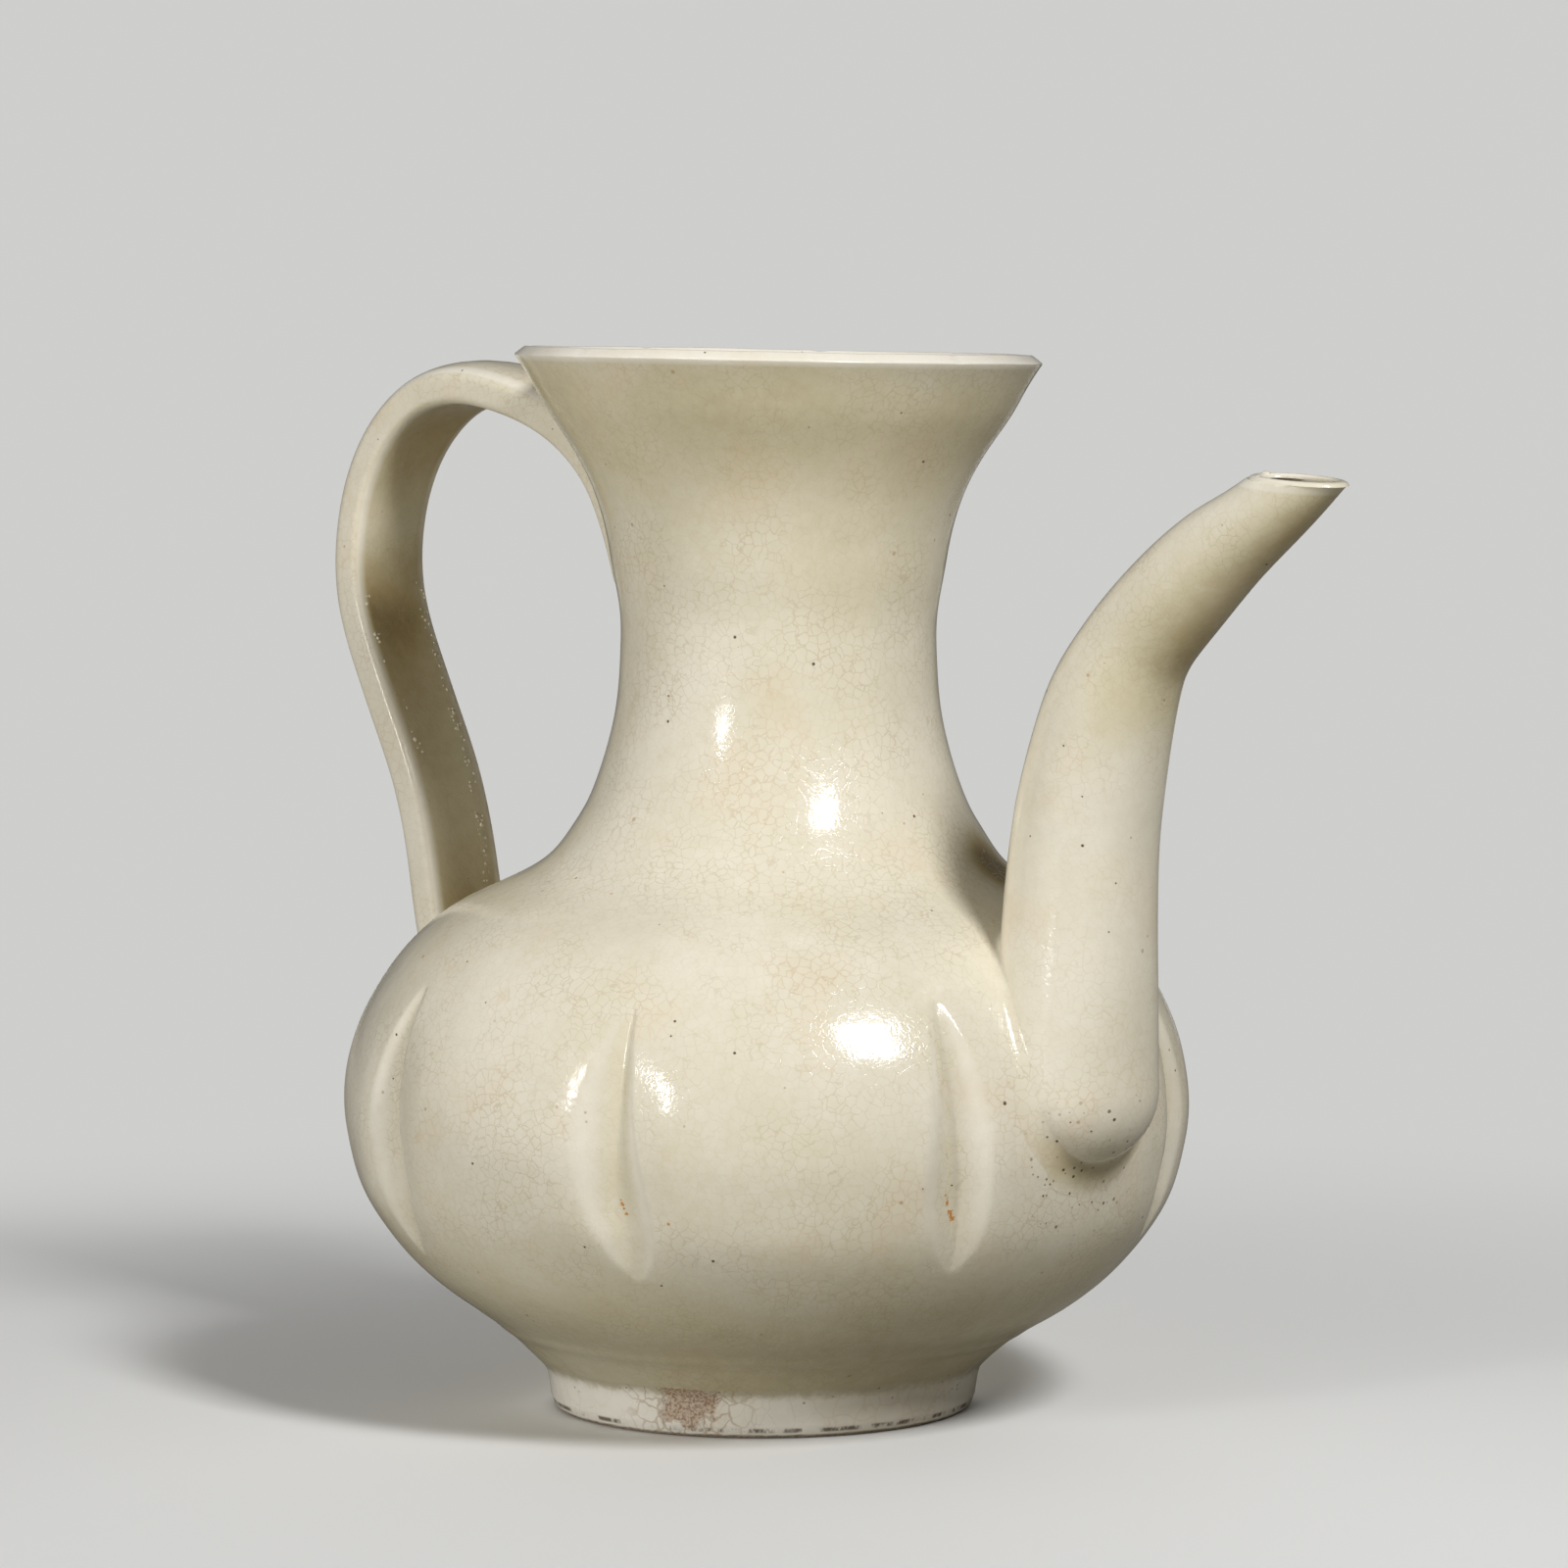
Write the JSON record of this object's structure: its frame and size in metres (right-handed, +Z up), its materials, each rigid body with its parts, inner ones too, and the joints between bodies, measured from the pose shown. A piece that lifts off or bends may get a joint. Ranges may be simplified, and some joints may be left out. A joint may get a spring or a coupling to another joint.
{
  "type": "melon shaped ewer",
  "caption": "Glazed stoneware pouring ewer: fluted melon body on a foot ring, trumpet neck, rising tubular spout and tall strap handle.",
  "frame": {"origin": "the point on the table under the middle of the ewer's overall length and width", "axes": "+X towards the spout's tip, +Z up, +Y to the left when looking along the spout"},
  "size_m": [0.2269, 0.1522, 0.1913],
  "materials": {
    "glaze": "glossy pale ivory glaze with a fine crackle",
    "foot": "thin pale glaze, stained brown along the standing edge",
    "luting": "fired clay slip, covered by glaze where it shows"
  },
  "bodies": {
    "root": {"foot_ring": "foot", "foot_luting": "luting", "lower_body": "glaze", "waist_luting": "luting", "upper_body": "glaze", "neck_luting": "luting", "neck": "glaze", "spout": "glaze", "spout_luting": "luting", "handle": "glaze", "handle_upper_luting": "luting", "handle_lower_luting": "luting"}
  },
  "joints": []
}
